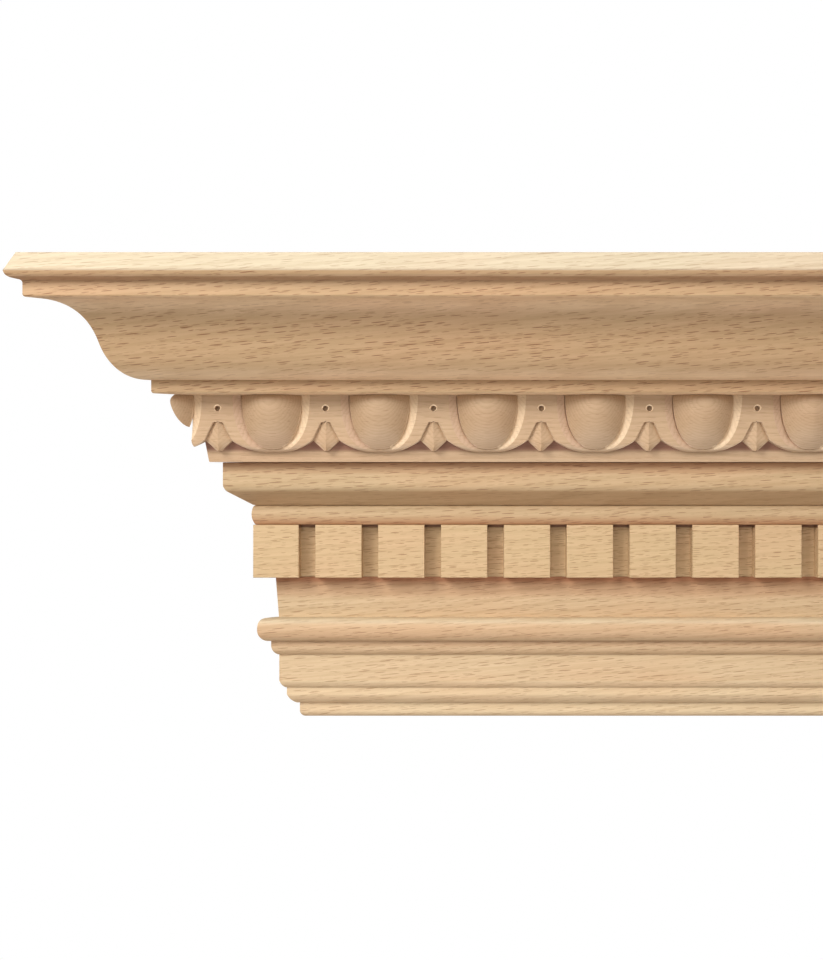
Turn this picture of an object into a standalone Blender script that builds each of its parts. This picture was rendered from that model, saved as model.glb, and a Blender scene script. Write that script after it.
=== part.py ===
"""Built-up cornice moulding section in plain beech.

A straight run with a mitre for an outside corner at its left end and a square cut at its right.
X runs along the moulding, the front faces -Y, the flat back lies on y = 0 and Z is up. The origin
is the middle of the back. Projections are measured forward from the face of the lowest fascia.
"""

import math

import bmesh
import bpy
from mathutils import Matrix

MM = 0.001
PIECE_GAP = 0.3 * MM

# The run: length of the back, and how far the lowest fascia stands in front of the back
BACK_LENGTH = 164.4 * MM
BACKING = 16.0 * MM
SEAT_DEPTH = 13.0 * MM
ARC_STEPS = 7

# Architrave: three fasciae, a fillet and a torus, from the bottom up. The lower edge of each
# fascia and of the fillet is rounded: how high and how deep the rounding goes, and its sagitta
LOW_FASCIA_HEIGHT = 4.8 * MM
LOW_FASCIA_EASE = 1.5 * MM
MID_FASCIA_HEIGHT = 5.4 * MM
MID_FASCIA_PROJECTION = 3.75 * MM
MID_FASCIA_ROUNDING = (3.1 * MM, 2.9 * MM, 0.42 * MM)
MAIN_FASCIA_HEIGHT = 10.9 * MM
MAIN_FASCIA_PROJECTION = 5.9 * MM
MAIN_FASCIA_ROUNDING = (2.4 * MM, 1.8 * MM, 0.28 * MM)
FILLET_HEIGHT = 4.6 * MM
FILLET_PROJECTION = 8.2 * MM
FILLET_ROUNDING = (2.9 * MM, 2.0 * MM, 0.5 * MM)
TORUS_HEIGHT = 7.5 * MM
TORUS_PROJECTION = 12.1 * MM
TORUS_RUN = 3.5 * MM

# Frieze, leaning out slightly towards the top
FRIEZE_HEIGHT = 13.0 * MM
FRIEZE_FOOT_PROJECTION = 6.0 * MM
FRIEZE_HEAD_PROJECTION = 6.9 * MM

# Dentils
DENTIL_HEIGHT = 16.2 * MM
DENTIL_PROJECTION = 13.3 * MM
DENTIL_DEPTH = 5.6 * MM
DENTIL_WIDTH = 14.75 * MM
DENTIL_GAP = 5.15 * MM
CORNER_DENTIL_WIDTH = 14.6 * MM

# Bed moulding: bead, quirk, slope, round and fascia, from the bottom up
BEAD_HEIGHT = 5.9 * MM
BEAD_PROJECTION = 13.6 * MM
BEAD_BULGE = 0.8 * MM
BEAD_LEAN = 0.5 * MM
QUIRK_HEIGHT = 0.5 * MM
QUIRK_DEPTH = 0.6 * MM
SLOPE_HEIGHT = 4.0 * MM
SLOPE_RUN = 6.6 * MM
BED_ROUND = 3.0 * MM
BED_FASCIA_HEIGHT = 9.0 * MM
BED_FASCIA_PROJECTION = 21.3 * MM

# Egg and dart strip
STRIP_HEIGHT = 20.0 * MM
BAND_HEIGHT = 3.6 * MM
BAND_PROJECTION = 25.5 * MM
GROUND_PROJECTION = 24.3 * MM
EGG_PITCH = 32.84 * MM
CORNER_TO_DART = 0.274 * EGG_PITCH
BURY = 0.2 * MM
EGG_HALF_WIDTH = 9.4 * MM
EGG_HALF_HEIGHT = 17.2 * MM
EGG_RISE = 1.1 * MM
EGG_DEPTH = 7.1 * MM
EGG_CENTRE_PROJECTION = 28.9 * MM
EGG_LEAN = 0.29
EGG_FULLNESS = 2.4
DART_FOOT_PROJECTION = 29.4 * MM
DART_HEAD_PROJECTION = 31.2 * MM
BEVEL_DEPTH = 2.0 * MM
BEVEL_SIDE = 1.85 * MM
BEVEL_FOOT = 0.25 * MM
RIM_DROP = 0.85 * MM
WING_FOOT_HALF = 3.9 * MM
WING_FOOT_HEIGHT = 6.5 * MM
WING_SWEEP = 3.0
NOTCH_HEIGHT = 12.0 * MM
NOTCH_HALF_TOP = 1.25 * MM
KITE_FOOT_HEIGHT = 3.65 * MM
KITE_PROJECTION = 28.9 * MM
KITE_EDGE_PROJECTION = 26.4 * MM
EYE_DIAMETER = 1.2 * MM
EYE_DEPTH = 2.0 * MM
EYE_HEIGHT = 16.2 * MM

# Crown moulding, from the bottom up; both curves of the cyma run out further than they rise
CROWN_FOOT_HEIGHT = 3.9 * MM
CROWN_FOOT_PROJECTION = 39.4 * MM
CROWN_FOOT_EASE = 0.7 * MM
OVOLO_STEP = 2.4 * MM
OVOLO_RUN = 10.1 * MM
OVOLO_RISE = 9.4 * MM
COVE_RUN = 12.5 * MM
COVE_RISE = 11.4 * MM
COVE_STEP = 4.0 * MM
CROWN_FILLET_HEIGHT = 4.1 * MM
CROWN_FILLET_EASE = 0.7 * MM
SLAB_HEIGHT = 8.3 * MM
SLAB_OVERHANG = 4.1 * MM
SLAB_HOLLOW = 0.6 * MM
NOSE_CHAMFER = 1.1 * MM
NOSE_FLAT = 0.4 * MM
SLAB_SLOPE_RUN = 2.7 * MM

# Heights of the joints between the pieces, counted up from the bottom of the architrave
ARCHITRAVE_TOP = (LOW_FASCIA_HEIGHT + MID_FASCIA_HEIGHT + MAIN_FASCIA_HEIGHT
                  + FILLET_HEIGHT + TORUS_HEIGHT)
FRIEZE_TOP = ARCHITRAVE_TOP + FRIEZE_HEIGHT
DENTIL_BASE = FRIEZE_TOP + PIECE_GAP
BED_BASE = DENTIL_BASE + DENTIL_HEIGHT + PIECE_GAP
BED_HEIGHT = BEAD_HEIGHT + QUIRK_HEIGHT + SLOPE_HEIGHT + BED_FASCIA_HEIGHT
STRIP_BASE = BED_BASE + BED_HEIGHT + PIECE_GAP
STRIP_TOP = STRIP_BASE + STRIP_HEIGHT
CROWN_BASE = STRIP_TOP + PIECE_GAP
CROWN_HEIGHT = (CROWN_FOOT_HEIGHT + OVOLO_RISE + COVE_RISE + CROWN_FILLET_HEIGHT
                + SLAB_HEIGHT)
TOTAL_HEIGHT = CROWN_BASE + CROWN_HEIGHT

STRIP_BACK = SEAT_DEPTH + PIECE_GAP
RIGHT_END = BACK_LENGTH / 2
OVERSIZE = 6.0 * MM


def depth(projection):
    """Distance in front of the back for a projection from the lowest fascia."""
    return BACKING + projection


def mitre_x(front):
    """X of the mitre at a distance in front of the back."""
    return -BACK_LENGTH / 2 - front


def arc(centre, run, rise, start, end, steps=ARC_STEPS):
    """Points (front, height) of an elliptical arc; angles in degrees, 0 forward and 90 up."""
    points = []
    for step in range(steps + 1):
        angle = math.radians(start + (end - start) * step / steps)
        points.append((centre[0] + run * math.cos(angle), centre[1] + rise * math.sin(angle)))
    return points


def bow(start, end, sagitta, steps=ARC_STEPS):
    """Points of a shallow round face that rises from one point to another."""
    along = (end[0] - start[0], end[1] - start[1])
    length = math.hypot(*along)
    points = []
    for step in range(steps + 1):
        share = step / steps
        swell = 4 * sagitta * share * (1 - share) / length
        points.append((start[0] + along[0] * share + along[1] * swell,
                       start[1] + along[1] * share - along[0] * swell))
    return points


def rounded_face(z, height, projection, rounding):
    """Front of a fascia or fillet with a rounded lower edge."""
    rise, run, sagitta = rounding
    face = depth(projection)
    return bow((face - run, z), (face, z + rise), sagitta) + [(face, z + height)]


def architrave_outline():
    """Section of the frieze and architrave board, from the bottom of its back."""
    ease = LOW_FASCIA_EASE
    points = [(0.0, 0.0)] + arc((depth(-ease), ease), ease, ease, -90, 0)
    z = LOW_FASCIA_HEIGHT
    points.append((depth(0.0), z))
    members = ((MID_FASCIA_HEIGHT, MID_FASCIA_PROJECTION, MID_FASCIA_ROUNDING),
               (MAIN_FASCIA_HEIGHT, MAIN_FASCIA_PROJECTION, MAIN_FASCIA_ROUNDING),
               (FILLET_HEIGHT, FILLET_PROJECTION, FILLET_ROUNDING))
    for height, projection, rounding in members:
        points += rounded_face(z, height, projection, rounding)
        z += height

    middle = (depth(TORUS_PROJECTION) - TORUS_RUN, z + TORUS_HEIGHT / 2)
    points += arc(middle, TORUS_RUN, TORUS_HEIGHT / 2, -82, 64, steps=2 * ARC_STEPS)
    z += TORUS_HEIGHT
    points.append((middle[0] + TORUS_RUN / 3, z))
    points.append((depth(FRIEZE_FOOT_PROJECTION), z))

    points.append((depth(FRIEZE_HEAD_PROJECTION), FRIEZE_TOP))
    points.append((SEAT_DEPTH, FRIEZE_TOP))
    points.append((SEAT_DEPTH, STRIP_TOP))
    points.append((0.0, STRIP_TOP))
    return points


def dentil_outline():
    """Section through a dentil."""
    front = depth(DENTIL_PROJECTION)
    top = DENTIL_BASE + DENTIL_HEIGHT
    return [(STRIP_BACK, DENTIL_BASE), (front, DENTIL_BASE), (front, top), (STRIP_BACK, top)]


def bed_outline():
    """Section of the bed moulding."""
    z = BED_BASE
    lip = depth(BEAD_PROJECTION) - BEAD_BULGE
    points = [(STRIP_BACK, z)]
    points += bow((lip - BEAD_LEAN / 2, z), (lip + BEAD_LEAN / 2, z + BEAD_HEIGHT), BEAD_BULGE)
    z += BEAD_HEIGHT
    points.append((lip - QUIRK_DEPTH, z + QUIRK_HEIGHT / 2))

    z += QUIRK_HEIGHT
    slope = math.atan2(SLOPE_HEIGHT, SLOPE_RUN)
    centre = (depth(BED_FASCIA_PROJECTION) - BED_ROUND,
              z + SLOPE_HEIGHT + BED_ROUND * math.cos(slope))
    points.append((centre[0] + BED_ROUND * math.sin(slope) - SLOPE_RUN, z))
    points += arc(centre, BED_ROUND, BED_ROUND, math.degrees(slope) - 90, 0)
    z += SLOPE_HEIGHT + BED_FASCIA_HEIGHT
    points += [(depth(BED_FASCIA_PROJECTION), z), (STRIP_BACK, z)]
    return points


def crown_outline():
    """Section of the crown: foot, ovolo and cove of the cyma, fillet, and bevelled slab."""
    z = CROWN_BASE
    face = depth(CROWN_FOOT_PROJECTION)
    ease = CROWN_FOOT_EASE
    points = [(0.0, z)] + arc((face - ease, z + ease), ease, ease, -90, 0)
    z += CROWN_FOOT_HEIGHT
    points.append((face, z))

    face += OVOLO_STEP
    points += arc((face, z + OVOLO_RISE), OVOLO_RUN, OVOLO_RISE, -90, 0)
    z += OVOLO_RISE
    face += OVOLO_RUN + COVE_RUN
    points += arc((face, z), COVE_RUN, COVE_RISE, 180, 90)[1:]

    z += COVE_RISE
    face += COVE_STEP
    ease = CROWN_FILLET_EASE
    points += arc((face - ease, z + ease), ease, ease, -90, 0)
    z += CROWN_FILLET_HEIGHT
    hollow = SLAB_HOLLOW
    points += arc((face + hollow, z), hollow, hollow, 180, 90)

    nose = face + SLAB_OVERHANG
    points.append((nose - NOSE_CHAMFER, z + hollow))
    points.append((nose, z + hollow + NOSE_CHAMFER))
    points.append((nose, z + hollow + NOSE_CHAMFER + NOSE_FLAT))
    z += SLAB_HEIGHT
    points.append((nose - SLAB_SLOPE_RUN, z))
    points.append((0.0, z))
    return points


def new_material(name, colour, roughness):
    """Bare wood as a Principled material."""
    material = bpy.data.materials.new(name)
    material.use_nodes = True
    shader = material.node_tree.nodes["Principled BSDF"]
    shader.inputs["Base Color"].default_value = (*colour, 1.0)
    shader.inputs["Roughness"].default_value = roughness
    shader.inputs["Metallic"].default_value = 0.0
    return material


def finish_object(name, bm, collection):
    """Turn a bmesh, drawn up from the bottom edge, into an object centred in height."""
    bmesh.ops.translate(bm, verts=bm.verts, vec=(0.0, 0.0, -TOTAL_HEIGHT / 2))
    bmesh.ops.recalc_face_normals(bm, faces=bm.faces)
    mesh = bpy.data.meshes.new(name)
    bm.to_mesh(mesh)
    bm.free()
    mesh.shade_smooth()
    mesh.set_sharp_from_angle(angle=math.radians(32))
    obj = bpy.data.objects.new(name, mesh)
    collection.objects.link(obj)
    return obj


def loft(bm, rings):
    """Join rings of as many points by quads and close both ends; returns the last end face."""
    loops = [[bm.verts.new(point) for point in ring] for ring in rings]
    count = len(loops[0])
    for near, far in zip(loops, loops[1:]):
        for index in range(count):
            following = (index + 1) % count
            bm.faces.new((near[index], near[following], far[following], far[index]))
    bm.faces.new(loops[0])
    return bm.faces.new(loops[-1])


def run_moulding(name, outline, collection):
    """Extrude a section along X, mitred at the left and square at the right."""
    bm = bmesh.new()
    section = bm.faces.new([bm.verts.new((RIGHT_END, -front, z)) for front, z in outline])
    swept = bmesh.ops.extrude_face_region(bm, geom=[section])
    for vertex in (item for item in swept["geom"] if isinstance(item, bmesh.types.BMVert)):
        vertex.co.x = mitre_x(-vertex.co.y)
    return finish_object(name, bm, collection)


def add_box(bm, low, high):
    """Add a box between two corners."""
    size = [b - a for a, b in zip(low, high)]
    middle = [(a + b) / 2 for a, b in zip(low, high)]
    matrix = Matrix.Translation(middle) @ Matrix.Diagonal((*size, 1.0))
    bmesh.ops.create_cube(bm, size=1.0, matrix=matrix)


def as_cutter(obj):
    """Mark a helper solid that only shapes another one."""
    obj.hide_render = True
    obj.display_type = 'WIRE'
    return obj


def add_boolean(obj, operation, cutter=None, collection=None):
    """Shape a piece by a helper solid, or by a collection of them."""
    modifier = obj.modifiers.new(operation.lower(), 'BOOLEAN')
    modifier.operation = operation
    modifier.solver = 'EXACT'
    if collection is not None:
        modifier.operand_type = 'COLLECTION'
        modifier.collection = collection
    else:
        modifier.object = cutter


def dentil_gap_starts():
    """Left edges of the gaps between the dentils."""
    starts = []
    left = mitre_x(depth(DENTIL_PROJECTION)) + CORNER_DENTIL_WIDTH
    while left < RIGHT_END - PIECE_GAP:
        starts.append(left)
        left += DENTIL_GAP + DENTIL_WIDTH
    return starts


def make_dentil_gaps(cutters):
    """Boxes that cut the gaps down to the web."""
    front = depth(DENTIL_PROJECTION)
    bm = bmesh.new()
    for left in dentil_gap_starts():
        add_box(bm, (left, -front - OVERSIZE, DENTIL_BASE - OVERSIZE),
                (left + DENTIL_GAP, -front + DENTIL_DEPTH, DENTIL_BASE + DENTIL_HEIGHT + OVERSIZE))
    return as_cutter(finish_object("dentil_gap_cutter", bm, cutters))


def dart_centres():
    """Middles of the darts, with one past each end so that the pattern runs through the cuts."""
    dart_face = depth((DART_FOOT_PROJECTION + DART_HEAD_PROJECTION) / 2)
    centre = mitre_x(dart_face) + CORNER_TO_DART
    centres = [centre]
    while centres[-1] < RIGHT_END + EGG_PITCH / 2:
        centres.append(centres[-1] + EGG_PITCH)
    return centres


def egg_edge(centre, side_growth, foot_growth, steps=18):
    """Outline of an egg from the strip's top, round below and up again; grown for the bevel."""
    half_width = EGG_HALF_WIDTH + side_growth
    half_height = EGG_HALF_HEIGHT + foot_growth
    middle_z = STRIP_TOP + EGG_RISE
    power = 2 / EGG_FULLNESS
    points = []
    for step in range(1, steps):
        angle = math.pi * step / steps
        across = math.copysign(abs(math.cos(angle)) ** power, math.cos(angle))
        points.append((centre - half_width * across,
                       middle_z - half_height * math.sin(angle) ** power))
    top = STRIP_TOP + OVERSIZE
    return [(centre - half_width, top)] + points + [(centre + half_width, top)]


def wing_edge(dart, side, steps=7):
    """Lower edge of a dart's wing, from its foot beside the notch to the middle of the egg."""
    foot = STRIP_BASE + WING_FOOT_HEIGHT
    rim = STRIP_TOP + EGG_RISE - EGG_HALF_HEIGHT - RIM_DROP
    points = []
    for step in range(steps):
        share = step / steps
        reach = WING_FOOT_HALF + (EGG_PITCH / 2 - WING_FOOT_HALF) * share
        points.append((dart + side * reach, rim + (foot - rim) * (1 - share) ** WING_SWEEP))
    return points


def lace_outline(darts, side_growth, foot_growth):
    """Outline of the darts with their wings, which join in a rim under every egg."""
    half = EGG_PITCH / 2
    rim = STRIP_TOP + EGG_RISE - EGG_HALF_HEIGHT - RIM_DROP
    first_egg = egg_edge(darts[0] - half, side_growth, foot_growth)
    last_egg = egg_edge(darts[-1] + half, side_growth, foot_growth)
    middle = len(first_egg) // 2
    upper = first_egg[middle:]
    for dart in darts[:-1]:
        upper += egg_edge(dart + half, side_growth, foot_growth)
    upper += last_egg[:middle + 1]

    lower = [(darts[-1] + half, rim)]
    for dart in reversed(darts):
        lower += reversed(wing_edge(dart, 1))
        lower.append((dart + NOTCH_HALF_TOP, STRIP_BASE + NOTCH_HEIGHT))
        lower.append((dart - NOTCH_HALF_TOP, STRIP_BASE + NOTCH_HEIGHT))
        lower += wing_edge(dart, -1)
        lower.append((dart - half, rim))
    return upper + lower


def dart_front(z):
    """Depth of the darts' leaning front face at a height."""
    foot = STRIP_BASE + WING_FOOT_HEIGHT
    share = (z - foot) / (STRIP_TOP - foot)
    lean = DART_HEAD_PROJECTION - DART_FOOT_PROJECTION
    return depth(DART_FOOT_PROJECTION + lean * share)


def make_darts(darts, carvings):
    """All darts as one lace: sides straight up to the root, then a bevel to the leaning face."""
    root = lace_outline(darts, 0.0, 0.0)
    face = lace_outline(darts, BEVEL_SIDE, BEVEL_FOOT)
    bm = bmesh.new()
    loft(bm, [[(x, -STRIP_BACK - OVERSIZE, z) for x, z in root],
              [(x, BEVEL_DEPTH - dart_front(z), z) for x, z in root],
              [(x, -dart_front(z), z) for x, z in face]])
    as_cutter(finish_object("dart_lace", bm, carvings))


def make_eggs(darts, carvings):
    """One leaning egg midway between the darts, straight behind its widest line; also at the ends."""
    for index in range(len(darts) + 1):
        bm = bmesh.new()
        bmesh.ops.create_uvsphere(bm, u_segments=28, v_segments=18, radius=1.0,
                                  matrix=Matrix.Rotation(math.pi / 2, 4, 'X'))
        centre = darts[0] + EGG_PITCH * (index - 0.5)
        for vertex in bm.verts:
            x, y, z = vertex.co
            spread = 1.0 if y > 0 else math.hypot(x, z)
            full = (abs(x) ** EGG_FULLNESS + abs(z) ** EGG_FULLNESS) ** (1 / EGG_FULLNESS)
            swell = spread / full if full > 1e-6 else 1.0
            drop = (EGG_HALF_HEIGHT + BURY) * z * swell
            vertex.co = (centre + (EGG_HALF_WIDTH + BURY) * x * swell,
                         EGG_DEPTH * y - depth(EGG_CENTRE_PROJECTION) - EGG_LEAN * drop,
                         STRIP_TOP + EGG_RISE + drop)
        as_cutter(finish_object(f"egg_{index + 1}", bm, carvings))


def make_kites(darts, carvings):
    """The pointed tip with a ridge that fills the notch of every dart, let into its sides."""
    top = STRIP_BASE + NOTCH_HEIGHT + BURY
    wide = STRIP_BASE + WING_FOOT_HEIGHT
    foot = STRIP_BASE + KITE_FOOT_HEIGHT
    back = -STRIP_BACK - OVERSIZE
    edge = -depth(KITE_EDGE_PROJECTION)
    half_top = NOTCH_HALF_TOP + BURY
    half_width = WING_FOOT_HALF + BURY
    for index, dart in enumerate(darts):
        corners = [(dart + half_top, top), (dart - half_top, top), (dart - half_width, wide),
                   (dart, foot), (dart + half_width, wide)]
        bm = bmesh.new()
        front = loft(bm, [[(x, back, z) for x, z in corners], [(x, edge, z) for x, z in corners]])
        tip = bmesh.ops.poke(bm, faces=[front])["verts"][0]
        tip.co = (dart, -depth(KITE_PROJECTION), wide)
        as_cutter(finish_object(f"kite_{index + 1}", bm, carvings))


def make_eyes(darts, cutters):
    """Drills for the small eye in every dart."""
    z = STRIP_BASE + EYE_HEIGHT
    face = dart_front(z)
    turn = Matrix.Rotation(math.pi / 2, 4, 'X')
    bm = bmesh.new()
    for dart in darts:
        middle = (dart, -face + (EYE_DEPTH - OVERSIZE) / 2, z)
        bmesh.ops.create_cone(bm, cap_ends=True, segments=10, radius1=EYE_DIAMETER / 2,
                              radius2=EYE_DIAMETER / 2, depth=EYE_DEPTH + OVERSIZE,
                              matrix=Matrix.Translation(middle) @ turn)
    return as_cutter(finish_object("eye_drill", bm, cutters))


def make_strip_block(darts, collection):
    """The blank of the carved strip: plain band below, sunk ground above, longer than the run."""
    outline = [(STRIP_BACK, STRIP_BASE), (depth(BAND_PROJECTION), STRIP_BASE),
               (depth(BAND_PROJECTION), STRIP_BASE + BAND_HEIGHT),
               (depth(GROUND_PROJECTION), STRIP_BASE + BAND_HEIGHT),
               (depth(GROUND_PROJECTION), STRIP_TOP + OVERSIZE),
               (STRIP_BACK, STRIP_TOP + OVERSIZE)]
    bm = bmesh.new()
    left = darts[0] - EGG_PITCH / 2
    right = darts[-1] + EGG_PITCH / 2
    loft(bm, [[(x, -front, z) for front, z in outline] for x in (left, right)])
    return finish_object("egg_and_dart_strip", bm, collection)


def make_envelope(cutters):
    """The space the carved strip may fill: mitred, cut square and cut flat under the crown."""
    front = depth(EGG_CENTRE_PROJECTION) + EGG_DEPTH + OVERSIZE
    outline = [(0.0, STRIP_BASE - OVERSIZE), (front, STRIP_BASE - OVERSIZE),
               (front, STRIP_TOP), (0.0, STRIP_TOP)]
    return as_cutter(run_moulding("strip_envelope", outline, cutters))


def make_egg_and_dart(collection, cutters, carvings):
    """The carved strip."""
    darts = dart_centres()
    strip = make_strip_block(darts, collection)
    make_darts(darts, carvings)
    make_eggs(darts, carvings)
    make_kites(darts, carvings)
    add_boolean(strip, 'UNION', collection=carvings)
    add_boolean(strip, 'DIFFERENCE', cutter=make_eyes(darts, cutters))
    add_boolean(strip, 'INTERSECT', cutter=make_envelope(cutters))
    return strip


def new_collection(name):
    """Add a collection to the scene."""
    collection = bpy.data.collections.new(name)
    bpy.context.scene.collection.children.link(collection)
    return collection


def main():
    """Build the five pieces of the cornice."""
    for obj in list(bpy.data.objects):
        bpy.data.objects.remove(obj, do_unlink=True)
    cornice = new_collection("cornice_moulding_section")
    cutters = new_collection("cutters")
    carvings = new_collection("carvings")

    crown = run_moulding("crown_moulding", crown_outline(), cornice)
    strip = make_egg_and_dart(cornice, cutters, carvings)
    bed = run_moulding("bed_moulding", bed_outline(), cornice)
    dentils = run_moulding("dentil_strip", dentil_outline(), cornice)
    add_boolean(dentils, 'DIFFERENCE', cutter=make_dentil_gaps(cutters))
    architrave = run_moulding("frieze_and_architrave", architrave_outline(), cornice)

    finishes = {
        crown: ("crown_beech", (0.50, 0.31, 0.18), 0.55),
        strip: ("carved_beech", (0.56, 0.37, 0.23), 0.58),
        bed: ("bed_beech", (0.52, 0.33, 0.19), 0.55),
        dentils: ("dentil_beech", (0.68, 0.49, 0.29), 0.58),
        architrave: ("architrave_beech", (0.66, 0.46, 0.28), 0.56),
    }
    for obj, (name, colour, roughness) in finishes.items():
        obj.data.materials.append(new_material(name, colour, roughness))


main()
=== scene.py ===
"""Dressed model of a built-up cornice moulding in bare beech.

A straight length of an entablature cornice, from the top down: a crown with its cyma, a carved
egg-and-dart strip, a bed moulding, a dentil strip, and the frieze and architrave board. X runs
along the length, the front faces -Y, the flat back lies on y = 0 and Z is up. Sections are drawn
as distances in front of the back and heights above the bottom edge.
"""

import logging
import math
from dataclasses import dataclass, field
from enum import Enum
from typing import ClassVar, Iterable, Sequence, Union

import bmesh
import bpy
from mathutils import Matrix, Vector

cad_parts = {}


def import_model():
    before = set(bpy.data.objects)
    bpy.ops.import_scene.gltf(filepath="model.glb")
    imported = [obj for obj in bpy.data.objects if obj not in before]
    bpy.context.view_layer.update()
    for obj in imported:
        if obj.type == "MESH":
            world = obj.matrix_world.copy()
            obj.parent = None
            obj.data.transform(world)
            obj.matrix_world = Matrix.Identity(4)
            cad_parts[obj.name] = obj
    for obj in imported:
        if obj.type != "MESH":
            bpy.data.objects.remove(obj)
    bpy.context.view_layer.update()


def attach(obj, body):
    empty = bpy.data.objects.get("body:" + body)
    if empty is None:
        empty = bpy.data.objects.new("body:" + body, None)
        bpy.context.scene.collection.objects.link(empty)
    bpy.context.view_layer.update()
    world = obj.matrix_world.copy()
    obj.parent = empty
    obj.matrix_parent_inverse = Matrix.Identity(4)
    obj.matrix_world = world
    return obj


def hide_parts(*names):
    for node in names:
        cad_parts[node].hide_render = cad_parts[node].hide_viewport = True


log = logging.getLogger("cornice")

MM = 0.001
Point = tuple[float, float]
Colour = tuple[float, float, float]


class Cut(Enum):
    """How an end of the length is cut, with the direction that the cut faces."""

    MITRE = (-1.0, 1.0, 0.0)
    SQUARE = (1.0, 0.0, 0.0)


class Source(Enum):
    """What a painted tone goes by: the upward part of the normal, or a mark on the faces.

    UP runs from -1 to 1. SHADE runs from -1 in the painted light of the table to 1 in the
    painted shade of a crease. The cut mark holds 1 for the painted light on the darts' left
    bevels, -1 on the right ones and 2 for the painted highlight round the eyes. The deep mark
    grows to 1 up the ground behind the darts and the egg mark down the eggs; both carry painted
    shade.
    """

    UP = "Z"
    SHADE = "shade"
    CUT = "cut"
    GROUND_SHADE = "deep"
    EGG_SHADE = "egg"


class PaintedFacetLight(Enum):
    """Painted light on the darts' left and right bevels, and a painted highlight round the eyes."""

    LEFT = 1.0
    RIGHT = -1.0
    EYE = 2.0


@dataclass(frozen=True)
class Run:
    """The length of moulding that every member is cut to.

    Attributes:
        half_back: Half of the length along the back.
        backing: Distance of the lowest fascia in front of the back.
        foot: Height of the bottom edge in the shared frame.
        spare: How far raw lengths run past both cuts.
    """

    half_back: float = 82.2 * MM
    backing: float = 16.0 * MM
    foot: float = -70.05 * MM
    spare: float = 12.0 * MM

    def front(self, projection: float) -> float:
        """Distance in front of the back for a projection from the lowest fascia."""
        return self.backing + projection

    def mitre_x(self, front: float) -> float:
        """X of the mitre at a distance in front of the back."""
        return -self.half_back - front

    def slice(self, bm: bmesh.types.BMesh, point: Sequence[float],
              outward: Sequence[float]) -> None:
        """Cut a solid off by a plane and close it.

        Args:
            bm: The solid.
            point: A point of the plane.
            outward: The side that is cut away.
        """
        geometry = bm.verts[:] + bm.edges[:] + bm.faces[:]
        cut = bmesh.ops.bisect_plane(bm, geom=geometry, dist=1e-7, plane_co=point,
                                     plane_no=Vector(outward).normalized(), clear_outer=True)
        rim = [item for item in cut["geom_cut"] if isinstance(item, bmesh.types.BMEdge)]
        bmesh.ops.holes_fill(bm, edges=rim, sides=0)

    def cut_ends(self, bm: bmesh.types.BMesh) -> None:
        """Mitre the left end of a solid and cut the right end square."""
        self.slice(bm, (-self.half_back, 0.0, 0.0), Cut.MITRE.value)
        self.slice(bm, (self.half_back, 0.0, 0.0), Cut.SQUARE.value)


RUN = Run()


@dataclass
class Section:
    """A closed outline of (front, height) points, drawn from the bottom of the back upwards."""

    points: list[Point] = field(default_factory=list)

    def to(self, front: float, height: float) -> "Section":
        """Go on to a point."""
        self.points.append((front, height))
        return self

    def arc(self, centre: Point, run: float, rise: float, start: float, end: float,
            steps: int = 14, fullness: float = 2.0) -> "Section":
        """Go on along an arc.

        Args:
            centre: Middle of the whole curve.
            run: Half width of the curve.
            rise: Half height of the curve.
            start: First angle in degrees, 0 forward and 90 up.
            end: Last angle in degrees.
            steps: Number of parts.
            fullness: 2 for an ellipse, more for a squarer curve, less for a flatter one.

        Returns:
            The section itself.
        """
        power = 2.0 / fullness
        for step in range(steps + 1):
            angle = math.radians(start + (end - start) * step / steps)
            across, up = math.cos(angle), math.sin(angle)
            self.to(centre[0] + run * math.copysign(abs(across) ** power, across),
                    centre[1] + rise * math.copysign(abs(up) ** power, up))
        return self

    def curve(self, start: Point, pull: Point, reach: Point, end: Point,
              steps: int = 20) -> "Section":
        """Go on along a cubic curve.

        Args:
            start: First point.
            pull: Handle of the first point.
            reach: Handle of the last point.
            end: Last point.
            steps: Number of parts.

        Returns:
            The section itself.
        """
        for step in range(steps + 1):
            b = step / steps
            a = 1.0 - b
            parts = (a * a * a, 3 * a * a * b, 3 * a * b * b, b * b * b)
            points = (start, pull, reach, end)
            self.to(*(sum(part * point[axis] for part, point in zip(parts, points))
                      for axis in (0, 1)))
        return self

    def bow(self, start: Point, end: Point, sagitta: float, steps: int = 10) -> "Section":
        """Go on along a shallow round face between two points, or a flat one in strips.

        Args:
            start: First point.
            end: Last point.
            sagitta: How far the face is bowed out, 0 if it is flat.
            steps: Number of strips.

        Returns:
            The section itself.
        """
        along = (end[0] - start[0], end[1] - start[1])
        length = math.hypot(*along)
        for step in range(steps + 1):
            share = step / steps
            swell = 4.0 * sagitta * share * (1.0 - share) / length
            self.to(start[0] + along[0] * share + along[1] * swell,
                    start[1] + along[1] * share - along[0] * swell)
        return self


def finish_mesh(name: str, bm: bmesh.types.BMesh, crease: float = 32.0) -> bpy.types.Object:
    """Turn a bmesh into an object with smooth faces and sharp corners.

    Args:
        name: Name of the object.
        bm: The mesh, which is used up.
        crease: Angle in degrees from which an edge stays sharp.

    Returns:
        The new object, linked to the scene.
    """
    bmesh.ops.recalc_face_normals(bm, faces=bm.faces)
    mesh = bpy.data.meshes.new(name)
    bm.to_mesh(mesh)
    bm.free()
    mesh.shade_smooth()
    mesh.set_sharp_from_angle(angle=math.radians(crease))
    obj = bpy.data.objects.new(name, mesh)
    bpy.context.scene.collection.objects.link(obj)
    return obj


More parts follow.
